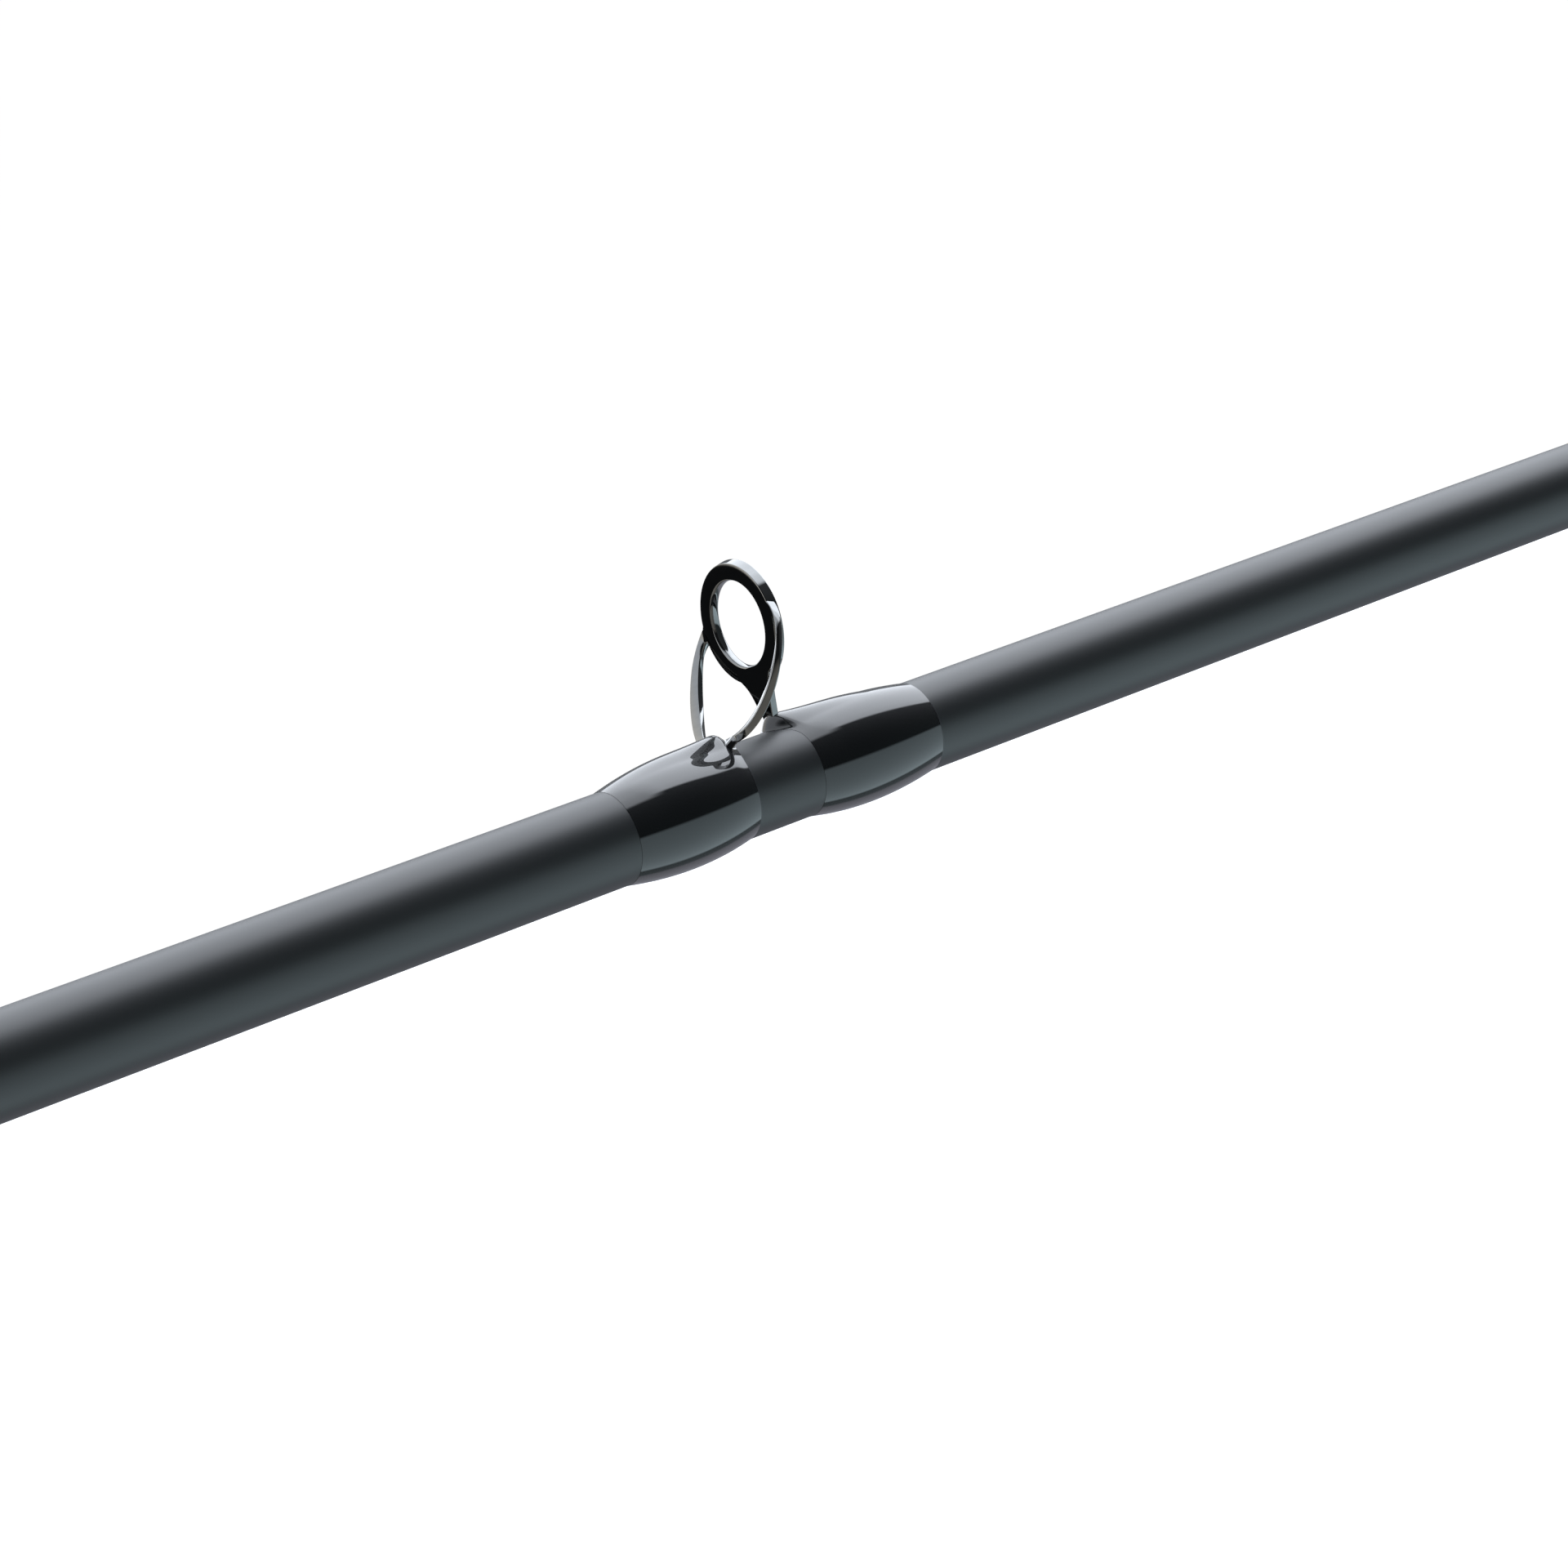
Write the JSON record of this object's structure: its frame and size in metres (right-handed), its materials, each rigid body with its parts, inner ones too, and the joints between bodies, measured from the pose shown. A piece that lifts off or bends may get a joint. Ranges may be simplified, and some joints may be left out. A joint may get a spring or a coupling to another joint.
{
  "type": "spinning rod",
  "caption": "Two-piece spinning fishing rod with a tapered graphite-grey blank, stamped one-piece guides bound on by glossy windings, a split foam handle and a screw-locking reel seat.",
  "frame": {"origin": "on the blank's axis, under the middle of the reel foot's bed, where a hand holds the rod", "axes": "+X along the rod towards its tip, +Z to the side that carries the guides and the reel, +Y completes the right-handed frame"},
  "size_m": [2.134, 0.0336, 0.056],
  "materials": {
    "blank": "matte dark graphite grey composite, finely ground",
    "wrap": "dark thread under a thick clear glossy epoxy coat",
    "frame": "polished black chrome over stainless steel",
    "foam": "fine-celled black foam, ground smooth",
    "rubber": "matte black",
    "seat": "satin graphite-filled nylon",
    "hood": "satin dark nickel",
    "trim_ring": "turned and anodised dark grey",
    "arbor": "rigid foam bush"
  },
  "bodies": {
    "butt_section": {"butt_blank": "blank", "ferrule_spigot": "blank", "butt_cap": "rubber", "butt_grip": "foam", "butt_grip_ring": "trim_ring", "rear_grip_ring": "trim_ring", "rear_grip": "foam", "seat_barrel": "seat", "seat_arbor_rear": "arbor", "seat_arbor_front": "arbor", "fixed_hood": "hood", "foregrip": "foam", "foregrip_ring": "trim_ring", "hook_keeper": "frame", "hook_keeper_wrap": "wrap", "guide_1_frame": "frame", "guide_1_front_wrap": "wrap", "guide_1_rear_wrap": "wrap", "ferrule_butt_wrap": "wrap"},
    "tip_section": {"tip_blank": "blank", "ferrule_tip_wrap": "wrap", "guide_2_frame": "frame", "guide_2_front_wrap": "wrap", "guide_2_rear_wrap": "wrap", "guide_3_frame": "frame", "guide_3_front_wrap": "wrap", "guide_3_rear_wrap": "wrap", "guide_4_frame": "frame", "guide_4_front_wrap": "wrap", "guide_4_rear_wrap": "wrap", "guide_5_frame": "frame", "guide_5_front_wrap": "wrap", "guide_5_rear_wrap": "wrap", "guide_6_frame": "frame", "guide_6_front_wrap": "wrap", "guide_6_rear_wrap": "wrap", "tip_top_frame": "frame", "tip_top_wrap": "wrap"},
    "sliding_hood": {"slide_hood": "hood"},
    "locking_nut": {"lock_nut": "seat"}
  },
  "joints": [
    {"name": "ferrule_slide", "type": "slide", "parent": "butt_section", "child": "tip_section", "axis": [1, 0, 0], "range_m": [0, 0.08]},
    {"name": "hood_slide", "type": "slide", "parent": "butt_section", "child": "sliding_hood", "axis": [1, 0, 0], "range_m": [-0.015, 0.006]},
    {"name": "nut_spin", "type": "hinge", "parent": "sliding_hood", "child": "locking_nut", "pos_m": [0.058, 0, 0], "axis": [1, 0, 0], "range_deg": [-1350, 540]}
  ],
  "couplings": [
    {"joint": "hood_slide", "follows": "nut_spin", "m_per_rad": 0.00063662}
  ]
}
